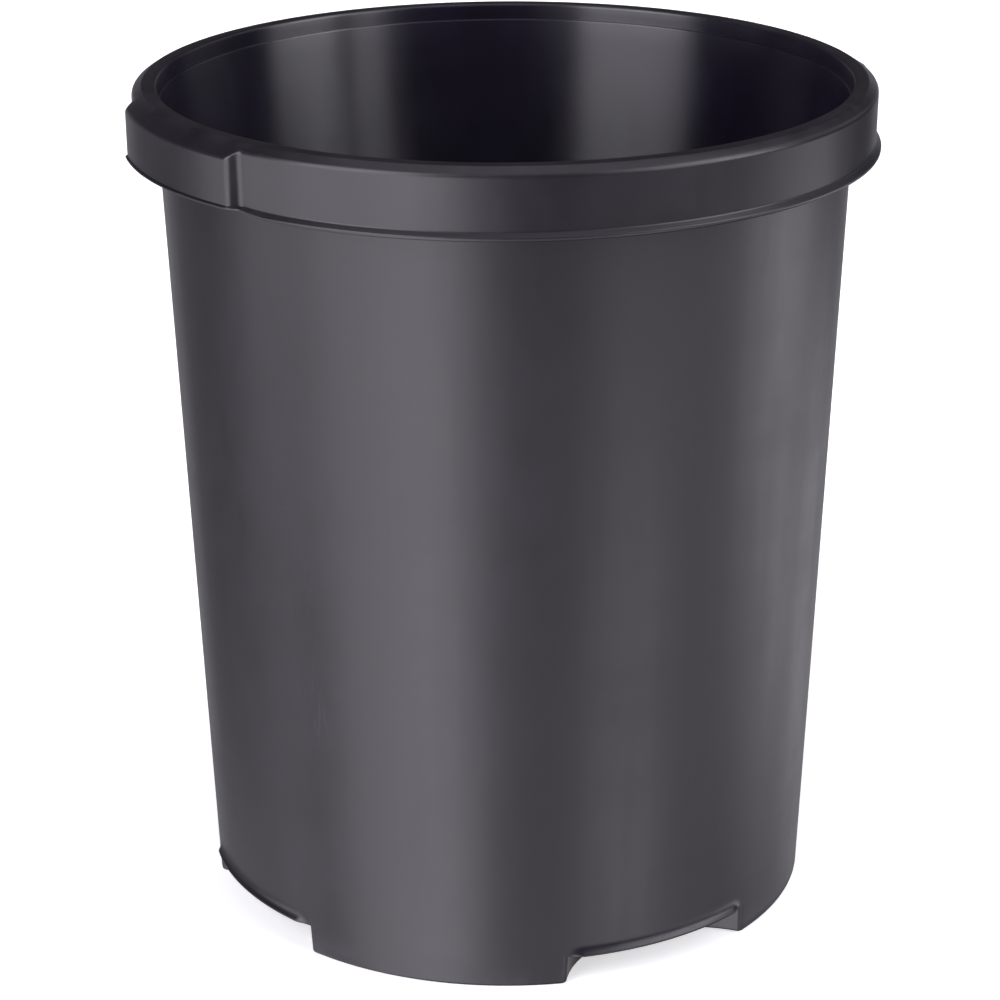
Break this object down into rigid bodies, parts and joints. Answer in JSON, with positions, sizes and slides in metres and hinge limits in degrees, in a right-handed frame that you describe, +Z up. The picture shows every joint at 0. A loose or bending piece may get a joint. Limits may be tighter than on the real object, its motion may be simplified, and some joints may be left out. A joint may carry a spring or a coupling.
{
  "type": "florist bucket",
  "caption": "Tall round tapered plastic bucket with a hanging rim band, two hand grips and finger recesses under the foot.",
  "frame": {"origin": "centre of the circle of feet, on the surface the bucket stands on", "axes": "+Z up along the bucket's axis, +X towards the right-hand grip, +Y towards the back"},
  "size_m": [0.4374, 0.4298, 0.49],
  "materials": {
    "body": "satin charcoal-black moulded plastic with faint flow marks",
    "foot": "satin charcoal-black moulded plastic, slightly scuffed",
    "rim": "satin charcoal-black moulded plastic with softly polished edges"
  },
  "bodies": {
    "root": {"side_wall": "body", "base_plate": "body", "foot_front_right": "foot", "foot_back_right": "foot", "foot_back_left": "foot", "foot_front_left": "foot", "recess_right": "foot", "recess_back": "foot", "recess_left": "foot", "recess_front": "foot", "finger_lip_right": "body", "finger_lip_back": "body", "finger_lip_left": "body", "finger_lip_front": "body", "rim_neck": "rim", "rim_crown": "rim", "band_front": "rim", "band_back": "rim", "grip_right": "rim", "grip_left": "rim", "edge_lip_front": "rim", "edge_lip_back": "rim", "edge_rib_right": "rim", "edge_rib_left": "rim"}
  },
  "joints": []
}
